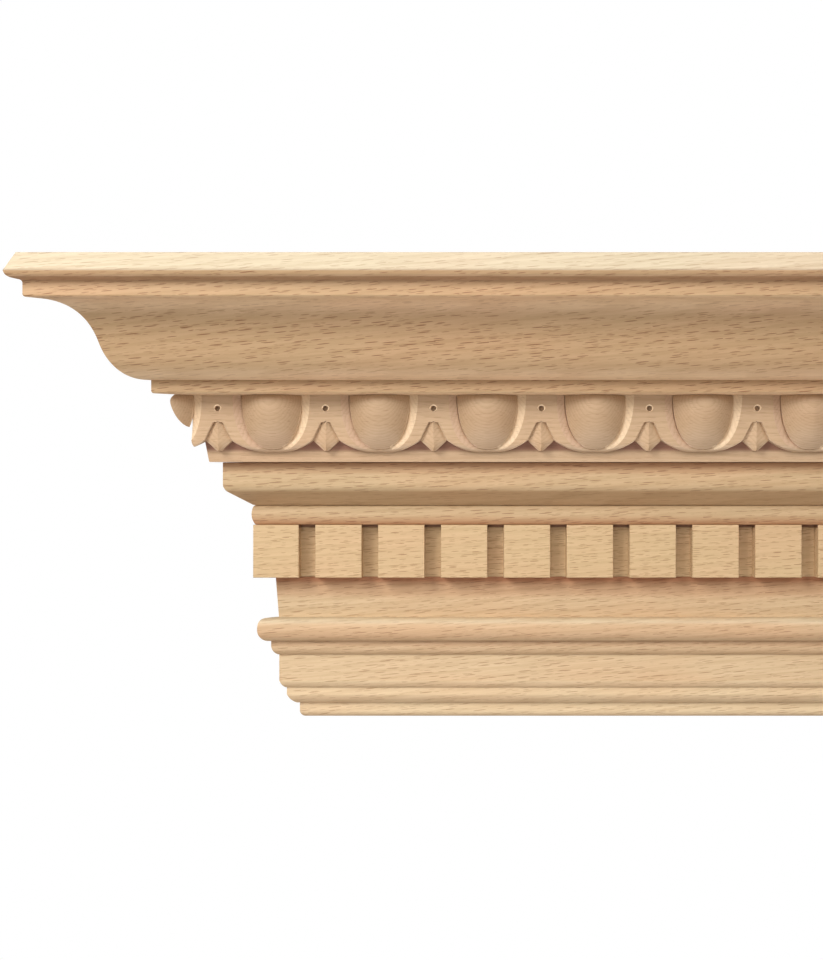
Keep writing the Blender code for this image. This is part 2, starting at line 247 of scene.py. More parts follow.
def ease_arrises(bm: bmesh.types.BMesh, edges: Iterable[bmesh.types.BMEdge],
                 width: float, least: float = 34.0) -> None:
    """Round the outer corners among some edges.

    Args:
        bm: The mesh, with its faces outwards.
        edges: The edges to choose from.
        width: Width of the rounding.
        least: Smallest angle in degrees that counts as a corner.
    """
    corners = [edge for edge in edges if len(edge.link_faces) == 2
               and edge.calc_face_angle_signed() > math.radians(least)]
    bmesh.ops.bevel(bm, geom=corners, offset=width, offset_type='OFFSET', segments=3,
                    profile=0.5, affect='EDGES', clamp_overlap=True, material=-1)


def extruded(corners: Sequence[Sequence[float]], travel: Sequence[float]) -> bmesh.types.BMesh:
    """Sweep a flat outline into a closed prism.

    Args:
        corners: The outline's corners.
        travel: How far the outline is moved.

    Returns:
        The prism, with its faces outwards.
    """
    bm = bmesh.new()
    face = bm.faces.new([bm.verts.new(corner) for corner in corners])
    swept = bmesh.ops.extrude_face_region(bm, geom=[face])["geom"]
    moved = [item for item in swept if isinstance(item, bmesh.types.BMVert)]
    bmesh.ops.translate(bm, verts=moved, vec=travel)
    bmesh.ops.recalc_face_normals(bm, faces=bm.faces)
    return bm


def close_behind(bm: bmesh.types.BMesh, rear: float) -> None:
    """Draw the open border of a relief straight back to a plane of Y and close it there.

    Args:
        bm: The relief.
        rear: Y of the plane.
    """
    border = [edge for edge in bm.edges if edge.is_boundary]
    walls = bmesh.ops.extrude_edge_only(bm, edges=border)["geom"]
    for vertex in (item for item in walls if isinstance(item, bmesh.types.BMVert)):
        vertex.co.y = rear
    rim = [item for item in walls if isinstance(item, bmesh.types.BMEdge) and item.is_boundary]
    bmesh.ops.holes_fill(bm, edges=rim, sides=0)


class Term:
    """A shader value, colour or vector; sums written with it become Math nodes."""

    def __init__(self, tree: bpy.types.NodeTree, socket: bpy.types.NodeSocket) -> None:
        """Hold an output socket and the tree that it is in."""
        self.tree = tree
        self.socket = socket

    @property
    def wide(self) -> bool:
        """Whether the term has three parts."""
        return self.socket.type in {'VECTOR', 'RGBA'}

    def sum(self, operation: str, *others: "Operand") -> "Term":
        """Add one Math or Vector Math node.

        Args:
            operation: The node's operation.
            *others: The further operands, terms or numbers.

        Returns:
            The node's result.
        """
        wide = self.wide or any(isinstance(other, Term) and other.wide for other in others)
        node = self.tree.nodes.new('ShaderNodeVectorMath' if wide else 'ShaderNodeMath')
        node.operation = operation
        for socket, operand in zip(node.inputs, (self, *others)):
            if isinstance(operand, Term):
                self.tree.links.new(operand.socket, socket)
            elif wide and not isinstance(operand, Sequence):
                socket.default_value = (operand,) * 3
            else:
                socket.default_value = operand
        scalar = operation == 'LENGTH' or not wide
        return Term(self.tree, node.outputs['Value' if scalar else 'Vector'])

    def __add__(self, other: "Operand") -> "Term":
        """Sum."""
        return self.sum('ADD', other)

    def __radd__(self, other: "Operand") -> "Term":
        """Sum."""
        return self.sum('ADD', other)

    def __sub__(self, other: "Operand") -> "Term":
        """Difference."""
        return self.sum('SUBTRACT', other)

    def __rsub__(self, other: "Operand") -> "Term":
        """Difference from a number."""
        return (self * -1.0).sum('ADD', other)

    def __mul__(self, other: "Operand") -> "Term":
        """Product."""
        return self.sum('MULTIPLY', other)

    def __rmul__(self, other: "Operand") -> "Term":
        """Product."""
        return self.sum('MULTIPLY', other)

    def __truediv__(self, other: "Operand") -> "Term":
        """Quotient."""
        return self.sum('DIVIDE', other)

    def __pow__(self, other: "Operand") -> "Term":
        """Power."""
        return self.sum('POWER', other)

    def fraction(self) -> "Term":
        """Part after the point."""
        return self.sum('FRACT')

    def part(self, axis: str) -> "Term":
        """One part of a vector, named X, Y or Z.

        Args:
            axis: Name of the part.

        Returns:
            Its value.
        """
        node = self.tree.nodes.new('ShaderNodeSeparateXYZ')
        self.tree.links.new(self.socket, node.inputs[0])
        return Term(self.tree, node.outputs[axis])

    def step(self, low: float, high: float) -> "Term":
        """Smooth step from 0 at low to 1 at high; low may be the larger one.

        Args:
            low: Value that gives 0.
            high: Value that gives 1.

        Returns:
            The step's value.
        """
        node = self.tree.nodes.new('ShaderNodeMapRange')
        node.interpolation_type = 'SMOOTHSTEP'
        self.tree.links.new(self.socket, node.inputs['Value'])
        flip = low > high
        node.inputs['From Min'].default_value = min(low, high)
        node.inputs['From Max'].default_value = max(low, high)
        node.inputs['To Min'].default_value = 1.0 if flip else 0.0
        node.inputs['To Max'].default_value = 0.0 if flip else 1.0
        return Term(self.tree, node.outputs['Result'])


Operand = Union[Term, float, Sequence[float]]


class Graph:
    """The node tree of a material or of the surroundings."""

    def __init__(self, owner: Union[bpy.types.Material, bpy.types.World]) -> None:
        """Start an empty tree in its owner.

        Args:
            owner: What the tree belongs to.
        """
        owner.use_nodes = True
        self.owner = owner
        self.tree = owner.node_tree
        self.tree.nodes.clear()

    def finish(self, kind: str, shader: "Term") -> None:
        """Lead a shader to the tree's output, of the kind Material or World."""
        output = self.tree.nodes.new(f'ShaderNodeOutput{kind}')
        self.tree.links.new(shader.socket, output.inputs['Surface'])

    def add(self, kind: str, inputs: dict[str, Operand], output: str = "",
            **settings: object) -> Term:
        """Add a node that isn't a sum.

        Args:
            kind: The node's type, without its ShaderNode prefix.
            inputs: Terms or constants by socket name.
            output: Name of the output to return, or the first if empty.
            **settings: Properties of the node.

        Returns:
            The chosen output.
        """
        node = self.tree.nodes.new('ShaderNode' + kind)
        for key, value in settings.items():
            setattr(node, key, value)
        for key, value in inputs.items():
            if isinstance(value, Term):
                self.tree.links.new(value.socket, node.inputs[key])
            else:
                node.inputs[key].default_value = value
        return Term(self.tree, node.outputs[output] if output else node.outputs[0])

    def vector(self, x: Operand, y: Operand, z: Operand) -> Term:
        """Join three values into a vector."""
        return self.add('CombineXYZ', {'X': x, 'Y': y, 'Z': z})

    def noise(self, place: Term, scale: Sequence[float], detail: float = 2.0,
              shift: float = 0.0) -> Term:
        """Smooth noise about zero, at most about half a unit either way.

        Args:
            place: Coordinates.
            scale: How often the noise changes per metre along each axis.
            detail: Number of finer layers.
            shift: Offset that gives another pattern.

        Returns:
            The noise value.
        """
        moved = place * tuple(scale) + (shift, shift * 1.7, shift * 0.6)
        return self.add('TexNoise', {'Vector': moved, 'Scale': 1.0, 'Detail': detail,
                                     'Roughness': 0.55}) - 0.5

    def mix(self, factor: Operand, first: Operand, second: Operand) -> Term:
        """Blend two colours.

        Args:
            factor: Share of the second colour.
            first: Colour at 0.
            second: Colour at 1.

        Returns:
            The blend.
        """
        node = self.tree.nodes.new('ShaderNodeMix')
        node.data_type = 'RGBA'
        for socket, value in ((node.inputs[0], factor), (node.inputs[6], first),
                              (node.inputs[7], second)):
            if isinstance(value, Term):
                self.tree.links.new(value.socket, socket)
            elif isinstance(value, Sequence):
                socket.default_value = (*value, 1.0)
            else:
                socket.default_value = value
        return Term(self.tree, node.outputs[2])


@dataclass(frozen=True)
class Flecks:
    """The short dark lenses that rays leave on the face of beech.

    Attributes:
        spacing: Size of the cell of one fleck along the grain, into the board and across.
        size: Half length, half depth and half thickness of the largest ones.
        share: Part of the cells that have one.
        strength: How much of the ray's colour shows.
        shift: Offset that gives another scatter.
    """

    spacing: Sequence[float]
    size: Sequence[float]
    share: float
    strength: float
    shift: float = 0.0

    def mask(self, graph: Graph, grain: Term) -> Term:
        """Draw the flecks.

        Args:
            graph: The material.
            grain: Coordinates along and across the grain, in metres.

        Returns:
            1 in the middle of a fleck, 0 beside it.
        """
        stretch = tuple(1.0 / length for length in self.spacing)
        place = grain * stretch + (self.shift, self.shift * 0.7, self.shift * 1.3)
        cell = {'Vector': place, 'Scale': 1.0, 'Randomness': 0.85}
        centre = graph.add('TexVoronoi', cell, 'Position', voronoi_dimensions='3D')
        chance = graph.add('TexVoronoi', cell, 'Color', voronoi_dimensions='3D')
        reach = tuple(cellsize / half for cellsize, half in zip(self.spacing, self.size))
        offset = (place - centre) * reach
        length = offset.sum('LENGTH')
        sized = length / (chance.part('Y') * 0.55 + 0.5)
        shown = chance.part('X').step(self.share + 0.04, self.share - 0.04)
        return sized.step(1.0, 0.74) * shown * self.strength


@dataclass(frozen=True)
class PaintedLight:
    """Painted light and shade: a change of tone by the faces' direction or mark.

    Attributes:
        source: What the tint goes by.
        low: Value from which the tint starts.
        high: Value from which it is full.
        colour: What the wood's colour is multiplied by.
    """

    source: Source
    low: float
    high: float
    colour: Colour

    def apply(self, graph: Graph, wood: Term) -> Term:
        """Tint a colour.

        Args:
            graph: The material.
            wood: The colour.

        Returns:
            The tinted colour.
        """
        if self.source is Source.UP:
            value = graph.add('TexCoord', {}, 'Normal').part(self.source.value)
        else:
            value = graph.add('Attribute', {}, 'Fac', attribute_name=self.source.value)
        return graph.mix(value.step(self.low, self.high), wood, wood * self.colour)


@dataclass(frozen=True)
class Beech:
    """Bare beech as one board of the cornice shows it.

    Attributes:
        name: The material's name.
        colour: Colour of the clear wood.
        warm: Colour of the warmer patches.
        ray: What the colour is multiplied by in the middle of a fleck.
        tints: Painted light and shade, by the faces' direction or mark.
        flecks: The scatters of ray flecks.
        tilt: Rise of the grain along X.
        ring_lean: How much the growth rings climb with depth and with height.
        ring_pitch: Distance of the growth rings across.
        ring_depth: How much darker the late wood of a ring is.
        streak: Strength of the fine streaks along the grain.
        patch: Strength of the warm patches.
        roughness: Mean roughness.
        shift: Offset that gives every board its own figure.
    """

    name: str
    colour: Colour
    warm: Colour
    flecks: Sequence[Flecks]
    ray: Colour = (0.52, 0.38, 0.31)
    tints: Sequence[PaintedLight] = ()
    tilt: float = 0.05
    ring_lean: Point = (0.35, 1.0)
    ring_pitch: float = 2.6 * MM
    ring_depth: float = 0.06
    streak: float = 0.26
    patch: float = 0.8
    roughness: float = 0.56
    shift: float = 0.0

    def material(self) -> bpy.types.Material:
        """Build the material.

        Returns:
            The new material.
        """
        graph = Graph(bpy.data.materials.new(self.name))
        place = graph.add('TexCoord', {}, 'Object')
        x, y, z = (place.part(axis) for axis in 'XYZ')
        wander = graph.noise(place, (9.0, 20.0, 30.0), 1.0, self.shift + 3.0)
        climb = x * self.tilt + wander * (2.4 * MM)
        grain = graph.vector(x, y + wander * (1.5 * MM), z - climb)

        across = (y * self.ring_lean[0] + (z - climb) * self.ring_lean[1]
                  + graph.noise(place, (14.0, 90.0, 90.0), 2.0, self.shift + 7.0) * (3.0 * MM))
        ring = (across / self.ring_pitch
                + graph.noise(place, (25.0, 260.0, 260.0), 2.0, self.shift + 1.0) * 0.9).fraction()
        late = ring.step(0.35, 0.93) * ring.step(1.0, 0.93)
        streaks = graph.noise(grain, (36.0, 900.0, 1700.0), 3.0, self.shift + 11.0)
        pores = graph.noise(grain, (420.0, 4200.0, 5200.0), 2.0, self.shift + 17.0)
        patches = graph.noise(place, (16.0, 60.0, 55.0), 2.0, self.shift + 23.0)

        wood = graph.mix(patches.step(-0.12, 0.22) * self.patch, self.colour, self.warm)
        tone = 1.0 - late * self.ring_depth + streaks * self.streak + pores * 0.10
        wood = wood * graph.vector(tone, tone ** 1.25, tone ** 1.6)
        marks = self.flecks[0].mask(graph, grain)
        for scatter in self.flecks[1:]:
            marks = marks.sum('MAXIMUM', scatter.mask(graph, grain))
        # Painted light: the flecks fade on faces turned up and on faces turned down, where the light
        # washes them out.
        facing = graph.add('TexCoord', {}, 'Normal').part('Z')
        marks = marks * (1.0 - facing.step(0.1, 0.5) * 0.5 - facing.step(-0.5, -0.9) * 0.65)
        wood = graph.mix(marks, wood, wood * self.ray)
        # Painted light and shade, laid over the wood by the faces' direction and marks.
        for tint in self.tints:
            wood = tint.apply(graph, wood)

        relief = 1.0 - marks * 0.5 + pores * 0.7 - late * 0.15
        normal = graph.add('Bump', {'Height': relief, 'Strength': 0.35, 'Distance': 0.05 * MM})
        rough = streaks * 0.12 + pores * 0.10 + marks * 0.06 + self.roughness
        shader = graph.add('BsdfPrincipled', {'Base Color': wood, 'Roughness': rough,
                                              'Normal': normal, 'IOR': 1.45})
        graph.finish('Material', shader)
        return graph.owner


@dataclass
class Member:
    """One length of wood in the cornice.

    Attributes:
        node: The frame's node that it stands for.
        slot: The record's finish, not used here.
        shades: Heights in mm, each with the value of the SHADE mark there.
        finish: The wood.
        arris: Width of the rounding on the outer corners.
    """

    node: ClassVar[str] = ""
    slot: ClassVar[str] = ""
    shades: ClassVar[Sequence[Point]] = ()
    finish: Beech
    arris: float = 0.22 * MM

    def section(self) -> Section:
        """The member's section."""
        raise NotImplementedError

    def solid(self) -> bmesh.types.BMesh:
        """Extrude the section along X, ease its arrises and cut both ends.

        Returns:
            The member's mesh.
        """
        points = self.section().points
        left = RUN.mitre_x(max(front for front, _ in points)) - RUN.spare
        bm = extruded([(left, -front, RUN.foot + height) for front, height in points],
                      (RUN.half_back + RUN.spare - left, 0.0, 0.0))
        lengthwise = [edge for edge in bm.edges
                      if abs(edge.verts[0].co.x - edge.verts[1].co.x) > RUN.spare]
        ease_arrises(bm, lengthwise, self.arris)
        RUN.cut_ends(bm)
        self.mark_shades(bm)
        return bm

    def mark_shades(self, bm: bmesh.types.BMesh) -> None:
        """Mark every face but the two ends with the shade at its height.

        Args:
            bm: The member's mesh.
        """
        layer = bm.faces.layers.float.new(Source.SHADE.value)
        bm.normal_update()
        for face in bm.faces:
            if abs(face.normal.x) > 0.5:
                continue
            height = (face.calc_center_median().z - RUN.foot) / MM
            for (low, first), (high, last) in zip(self.shades, self.shades[1:]):
                if low <= height < high:
                    face[layer] = first + (last - first) * (height - low) / (high - low)

    def build(self) -> bpy.types.Object:
        """Make the member's object."""
        return finish_mesh(self.node + "_wood", self.solid())

    def place(self) -> bpy.types.Object:
        """Build the member, dress it and put it in the frame instead of its node.

        Returns:
            The finished piece.
        """
        piece = self.build()
        piece.data.materials.clear()
        piece.data.materials.append(self.finish.material())
        normals = piece.modifiers.new("even_faces", 'WEIGHTED_NORMAL')
        normals.keep_sharp = True
        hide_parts(self.node)
        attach(piece, "root")
        log.info("%s: %d faces", piece.name, len(piece.data.polygons))
        return piece


@dataclass
class Crown(Member):
    """Bevelled slab, fillet, cyma and foot, in one length.

    The sizes follow the section from the bottom up. A pair is a run and a rise, a step is how far
    the next part stands forward. The nose's corners are distances behind its foremost line and
    above the slab's bottom.
    """

    node: ClassVar[str] = "crown_moulding"
    slot: ClassVar[str] = "crown_beech"
    shades: ClassVar[Sequence[Point]] = (
        (129.0, 0.1), (131.8, 0.3), (132.3, 0.45), (132.7, 0.8), (133.1, 0.8), (133.4, 0.3),
        (134.2, 0.25), (134.6, 0.5), (135.0, 0.5), (135.3, 0.0))
    base: float = 103.0 * MM
    foot: Point = (39.4 * MM, 3.9 * MM)
    cyma_step: float = 1.6 * MM
    ovolo: Point = (10.7 * MM, 9.9 * MM)
    cove: Point = (12.8 * MM, 11.2 * MM)
    cove_step: float = 3.9 * MM
    fillet: float = 3.8 * MM
    ease: float = 0.7 * MM
    hollow: float = 0.9 * MM
    overhang: float = 4.1 * MM
    slab: float = 8.3 * MM
    slope: float = 2.7 * MM
    nose: Sequence[Point] = ((2.3 * MM, 0.12 * MM), (1.5 * MM, 0.28 * MM), (0.95 * MM, 0.5 * MM),
                             (0.55 * MM, 0.8 * MM), (0.25 * MM, 1.2 * MM), (0.0, 1.95 * MM),
                             (0.08 * MM, 2.25 * MM), (0.24 * MM, 2.5 * MM))

    def section(self) -> Section:
        """Foot, ovolo, cove, fillet and slab, from the bottom up.

        Returns:
            The closed section.
        """
        z = self.base
        face = RUN.front(self.foot[0])
        ease = self.ease
        drawn = Section().to(0.0, z)
        drawn.arc((face - ease, z + ease), ease, ease, -90, 0, steps=5)
        z += self.foot[1]
        drawn.to(face, z)

        face += self.cyma_step
        run, rise = self.ovolo
        turn = (face + run, z + rise)
        drawn.curve((face, z), (face + 0.46 * run, z), (turn[0] - 0.18 * run, turn[1] - 0.62 * rise),
                    turn)
        run, rise = self.cove
        face = turn[0] + run
        z = turn[1] + rise
        cove = Section().curve(turn, (turn[0] + 0.12 * run, turn[1] + 0.46 * rise),
                               (face - 0.62 * run, z), (face, z))
        drawn.points += cove.points[1:]

        face += self.cove_step
        drawn.arc((face - ease, z + ease), ease, ease, -90, 0, steps=5)
        z += self.fillet
        drawn.arc((face + self.hollow, z), self.hollow, self.hollow, 180, 90, steps=5)

        nose = face + self.overhang
        z += self.hollow
        for back, rise in self.nose:
            drawn.to(nose - back, z + rise)
        z += self.slab - self.hollow
        return drawn.to(nose - self.slope, z).to(0.0, z)


@dataclass
class BedMoulding(Member):
    """Fascia, round, slope, quirk and bead.

    The sizes follow the section from the bottom up. Bead and fascia are a projection and a
    height, slope and quirk a run and a rise.
    """

    node: ClassVar[str] = "bed_moulding"
    slot: ClassVar[str] = "bed_beech"
    shades: ClassVar[Sequence[Point]] = (
        (63.0, 0.55), (63.9, 0.55), (64.5, 0.4), (65.5, 0.25), (66.5, 0.0), (78.5, 0.0),
        (79.5, 0.3), (80.8, 0.36), (81.4, 0.5), (82.7, 0.55))
    back: float = 13.3 * MM
    base: float = 63.0 * MM
    joint: float = 0.28 * MM
    bead: Point = (13.6 * MM, 5.9 * MM)
    bulge: float = 0.8 * MM
    lean: float = 0.5 * MM
    quirk: Point = (0.35 * MM, 0.45 * MM)
    slope: Point = (6.6 * MM, 4.0 * MM)
    round: float = 3.0 * MM
    fascia: Point = (21.3 * MM, 9.0 * MM)

    def section(self) -> Section:
        """Bead, quirk, slope, round and fascia, from the bottom up.

        Returns:
            The closed section.
        """
        z = self.base
        lip = RUN.front(self.bead[0]) - self.bulge
        drawn = Section().to(self.back, z)
        drawn.bow((lip - self.lean / 2, z), (lip + self.lean / 2, z + self.bead[1]),
                  self.bulge, steps=16)
        z += self.bead[1]
        drawn.to(lip - self.quirk[0], z + self.quirk[1] / 2)

        z += self.quirk[1]
        angle = math.atan2(self.slope[1], self.slope[0])
        centre = (RUN.front(self.fascia[0]) - self.round,
                  z + self.slope[1] + self.round * math.cos(angle))
        drawn.to(centre[0] + self.round * math.sin(angle) - self.slope[0], z)
        drawn.arc(centre, self.round, self.round, math.degrees(angle) - 90, 0)
        z += self.slope[1] + self.fascia[1] + self.joint
        front = RUN.front(self.fascia[0])
        drawn.bow((front, centre[1] + self.round / 4), (front, z), 0.0, steps=18)
        return drawn.to(self.back, z)


@dataclass
class DentilStrip(Member):
    """Dentils on a web, cut from one length by sawn gaps.

    The first dentil, at the mitre, is as wide as corner says, and the last one is left out below
    the least width. The head is the shaded part of the gaps' floor.
    """

    node: ClassVar[str] = "dentil_strip"
    slot: ClassVar[str] = "dentil_beech"
    back: float = 13.3 * MM
    base: float = 46.22 * MM
    height: float = 16.76 * MM
    projection: float = 13.3 * MM
    depth: float = 5.6 * MM
    width: float = 14.75 * MM
    gap: float = 5.15 * MM
    head: float = 1.0 * MM
    corner: float = 14.6 * MM
    least: float = 0.3 * MM

    def plan(self) -> list[Point]:
        """Outline of the strip from above, as (x, front) points.

        Returns:
            The closed outline.
        """
        front = RUN.front(self.projection)
        floor = front - self.depth
        end = RUN.half_back
        points = [(end, self.back), (RUN.mitre_x(self.back), self.back),
                  (RUN.mitre_x(front), front)]
        x = RUN.mitre_x(front) + self.corner
        while x < end - self.least:
            points += [(x, front), (x, floor)]
            x += self.gap
            points += [(min(x, end), floor)]
            if x < end:
                points += [(x, front)]
            x += self.width
        if x - self.width < end:
            points.append((end, front))
        return points

    def solid(self) -> bmesh.types.BMesh:
        """Raise the plan to the dentils' height and ease its arrises.

        Returns:
            The strip's mesh.
        """
        z = RUN.foot + self.base
        bm = extruded([(x, -front, z) for x, front in self.plan()], (0.0, 0.0, self.height))
        line = -RUN.front(self.projection) + self.arris / 2
        outer = [edge for edge in bm.edges if all(vert.co.y < line for vert in edge.verts)]
        ease_arrises(bm, outer, self.arris, least=60.0)
        self.mark_heads(bm, z + self.height)
        return bm

    def mark_heads(self, bm: bmesh.types.BMesh, top: float) -> None:
        """Mark the head of every gap's floor, in the shade of the bed moulding, with 1.

        Args:
            bm: The strip's mesh.
            top: Height of its top in the shared frame.
        """
        geometry = bm.verts[:] + bm.edges[:] + bm.faces[:]
        bmesh.ops.bisect_plane(bm, geom=geometry, dist=1e-7, plane_co=(0.0, 0.0, top - self.head),
                               plane_no=(0.0, 0.0, 1.0))
        shade = bm.faces.layers.float.new(Source.SHADE.value)
        line = -RUN.front(self.projection) + self.depth / 2
        for face in bm.faces:
            middle = face.calc_center_median()
            if middle.y > line and abs(middle.z - top + self.head / 2) < self.head / 4:
                face[shade] = 1.0


@dataclass
class Architrave(Member):
    """Frieze, torus, fillet and three fasciae on the board that carries the other members.

    Every step above the lowest fascia has its height, its projection, and the rise, run and
    sagitta of its rounded foot. The frieze leans from its first projection to its second.
    """

    node: ClassVar[str] = "frieze_and_architrave"
    slot: ClassVar[str] = "architrave_beech"
    shades: ClassVar[Sequence[Point]] = (
        (0.0, -1.0), (12.6, -1.0), (12.7, 0.0), (21.1, 0.2), (24.5, 0.3), (25.6, 0.5), (25.7, 0.4),
        (26.4, 0.1), (27.2, 0.33), (29.4, 0.33), (30.5, 0.25), (32.3, 0.1), (33.0, 0.0), (38.0, 0.0),
        (40.6, 0.38), (43.0, 0.47), (44.3, 0.62), (45.1, 1.0), (46.2, 1.0))
    seat: float = 13.0 * MM
    top: float = 102.7 * MM
    low_height: float = 4.8 * MM
    low_ease: float = 2.1 * MM
    steps: Sequence[tuple[float, float, tuple[float, float, float]]] = (
        (5.4 * MM, 3.75 * MM, (3.1 * MM, 2.9 * MM, 0.42 * MM)),
        (10.9 * MM, 5.9 * MM, (2.4 * MM, 1.8 * MM, 0.28 * MM)),
        (4.6 * MM, 8.2 * MM, (2.9 * MM, 2.0 * MM, 0.5 * MM)),
    )
    torus: Point = (12.1 * MM, 7.5 * MM)
    torus_run: float = 3.5 * MM
    torus_head: float = 3.0
    frieze: Point = (6.0 * MM, 6.9 * MM)
    frieze_height: float = 13.0 * MM

    def section(self) -> Section:
        """Fasciae, fillet, torus, frieze and the plain board above, from the bottom up.

        Returns:
            The closed section.
        """
        ease = self.low_ease
        drawn = Section().to(0.0, 0.0)
        drawn.arc((RUN.front(-ease), ease), ease, ease, -90, 0, steps=8)
        z = self.low_height
        drawn.to(RUN.front(0.0), z)
        for height, projection, (rise, run, sagitta) in self.steps:
            face = RUN.front(projection)
            drawn.bow((face - run, z), (face, z + rise), sagitta, steps=9)
            z += height
            drawn.to(face, z)

        half = self.torus[1] / 2
        middle = (RUN.front(self.torus[0]) - self.torus_run, z + half)
        drawn.arc(middle, self.torus_run, half, -82, 0, steps=14)
        drawn.arc(middle, self.torus_run, half, 6, 78, steps=14, fullness=self.torus_head)
        z += self.torus[1]
        drawn.to(middle[0], z)
        z += self.frieze_height
        drawn.bow((RUN.front(self.frieze[0]), z - self.frieze_height),
                  (RUN.front(self.frieze[1]), z), 0.0, steps=24)
        drawn.to(self.seat, z)
        return drawn.to(self.seat, self.top).to(0.0, self.top)


@dataclass
class EggAndDart(Member):
    """Carved strip: leaning eggs, darts whose wings join in a rim under every egg, and kites.

    Heights are above the bottom edge of the cornice and projections in front of its lowest
    fascia. A point of the darts is its distance from the dart's middle and its height.

    Attributes:
        back: Distance of the strip's back from the cornice's back.
        base: Height of the bottom.
        top: Height of the top.
        band: Projection of the band at the foot.
        band_ease: Depth and height of its lower corner.
        ground: Projection of the ground behind the carving, and the band's height.
        shadow: Height above the bottom where the painted shade on the ground starts, and how soon it
            is full.
        pitch: Distance from dart to dart.
        corner: Distance of the first dart from the mitre, as a share of the pitch.
        corner_line: Projection at which that distance is taken.
        spare: How far the raw bodies run past the back and the top.
        rise: How far the eggs' widest line lies above the top.
        egg: Half width and half height of an egg.
        egg_depth: How far it swells in front of its edge.
        egg_edge: Projection of its edge.
        egg_tail: How far it runs back from its edge.
        egg_lean: How far its bottom lies behind its widest line.
        egg_tuck: How far the bottom is tucked in besides, and the share where that starts.
        egg_brow: Height and depth of the turn at its top.
        opening: Half width and half height of the darts' edge round an egg.
        fullness: Fullness of both outlines, 2 for an ellipse.
        keel: Height and half width of the ridge down an egg.
        bury: How far the kites run in under the darts.
        grooves: Width of the groove beside the left and right side of a dart.
        groove_fade: Share of the outline over which a groove fades at the bottom.
        bevel: Greatest width and depth of the bevel round an egg.
        bevel_least: Width of the bevel at the bottom.
        bevel_fade: Share of the outline over which it narrows.
        bevel_hollow: Shares of the width, each with the share of the depth that is left.
        soft: Width of the rounding at the bevel and at the darts' outer edge.
        soft_drop: Depth of the two roundings.
        face_foot: Projection of the darts' front at the turn.
        face_head: Projection of it at the top.
        face_turn: Height of the turn.
        face_round: Depth and height of the round below the turn.
        rim: Height of the rim's lower edge under an egg.
        notch_foot: Lower corner of the notch.
        notch_top: Upper corner of the notch.
        notch_stops: Shares of the edge that face the dart's middle, the notch's top and side.
        kite_tip: Half width and height of a kite's tip.
        kite_widest: Share of the kite's length above its widest place.
        kite_ridge: Height of its ridge.
        kite_sunk: How far the ridge lies behind the darts' front.
        kite_hang: How far below the turn it stops following their round.
        eye: Radius of the hole, radius of its sunk edge and height of its middle.
    """

    node: ClassVar[str] = "egg_and_dart_strip"
    slot: ClassVar[str] = "carved_beech"
    back: float = 13.3 * MM
    base: float = 82.7 * MM
    top: float = 102.98 * MM
    band: float = 24.9 * MM
    band_ease: Point = (0.15 * MM, 0.2 * MM)
    ground: Point = (25.9 * MM, 6.2 * MM)
    shadow: Point = (2.6 * MM, 1.7 * MM)
    pitch: float = 32.84 * MM
    corner: float = 0.274
    corner_line: float = 30.3 * MM
    spare: float = 6.0 * MM
    rise: float = 0.82 * MM
    egg: Point = (9.28 * MM, 17.25 * MM)
    egg_depth: float = 5.2 * MM
    egg_edge: float = 30.4 * MM
    egg_tail: float = 12.0 * MM
    egg_lean: float = 0.8 * MM
    egg_tuck: Point = (1.1 * MM, 0.66)
    egg_brow: Point = (2.6 * MM, 0.9 * MM)
    opening: Point = (9.25 * MM, 17.2 * MM)
    fullness: float = 2.3
    keel: Point = (0.30 * MM, 3.5 * MM)
    bury: float = 0.15 * MM
    grooves: Point = (0.04 * MM, 0.22 * MM)
    groove_fade: float = 0.35
    bevel: Point = (2.3 * MM, 1.15 * MM)
    bevel_least: float = 0.15 * MM
    bevel_fade: float = 0.75
    bevel_hollow: Sequence[Point] = ((0.45, 0.56), (0.88, 0.14))
    soft: Point = (0.16 * MM, 0.30 * MM)
    soft_drop: Point = (0.05 * MM, 0.32 * MM)
    face_foot: float = 29.45 * MM
    face_head: float = 31.2 * MM
    face_turn: float = 89.5 * MM
    face_round: Point = (3.45 * MM, 3.8 * MM)
    rim: float = 85.75 * MM
    notch_foot: Point = (3.95 * MM, 89.3 * MM)
    notch_top: Point = (1.3 * MM, 94.77 * MM)
    notch_stops: tuple[float, float, float] = (0.28, 0.32, 0.45)
    kite_tip: Point = (0.7 * MM, 86.1 * MM)
    kite_widest: float = 0.6
    kite_ridge: float = 1.25 * MM
    kite_sunk: float = 0.2 * MM
    kite_hang: float = 1.6 * MM
    eye: tuple[float, float, float] = (0.80 * MM, 1.20 * MM, 98.9 * MM)

    def darts(self) -> list[float]:
        """Middles of the darts, with one past each end.

        Returns:
            Their places along X.
        """
        centres = [RUN.mitre_x(RUN.front(self.corner_line)) + self.corner * self.pitch]
        while centres[-1] < RUN.half_back + self.pitch / 2:
            centres.append(centres[-1] + self.pitch)
        return centres

    def face(self, z: float) -> float:
        """Distance of the darts' front in front of the back, at a height.

        Args:
            z: The height.

        Returns:
            The distance.
        """
        if z >= self.face_turn:
            share = (z - self.face_turn) / (self.top - self.face_turn)
            return RUN.front(self.face_foot + (self.face_head - self.face_foot) * share)
        drop = min(1.0, (self.face_turn - z) / self.face_round[1])
        under = self.face_round[0] * (1.0 - math.sqrt(1.0 - drop * drop))
        return RUN.front(self.face_foot - under)

    def egg_side(self, share: float, grow: float) -> Vector:
        """Point of the dart's edge round an egg, from the egg's widest place to its bottom.

        Args:
            share: Place along the quarter outline.
            grow: How much wider than the egg the outline is.

        Returns:
            Distance from the dart's middle and height.
        """
        angle = math.pi / 2 * share
        power = 2.0 / self.fullness
        return Vector((self.pitch / 2 - (self.opening[0] + grow) * abs(math.cos(angle)) ** power,
                       self.top + self.rise - self.opening[1] * math.sin(angle) ** power))

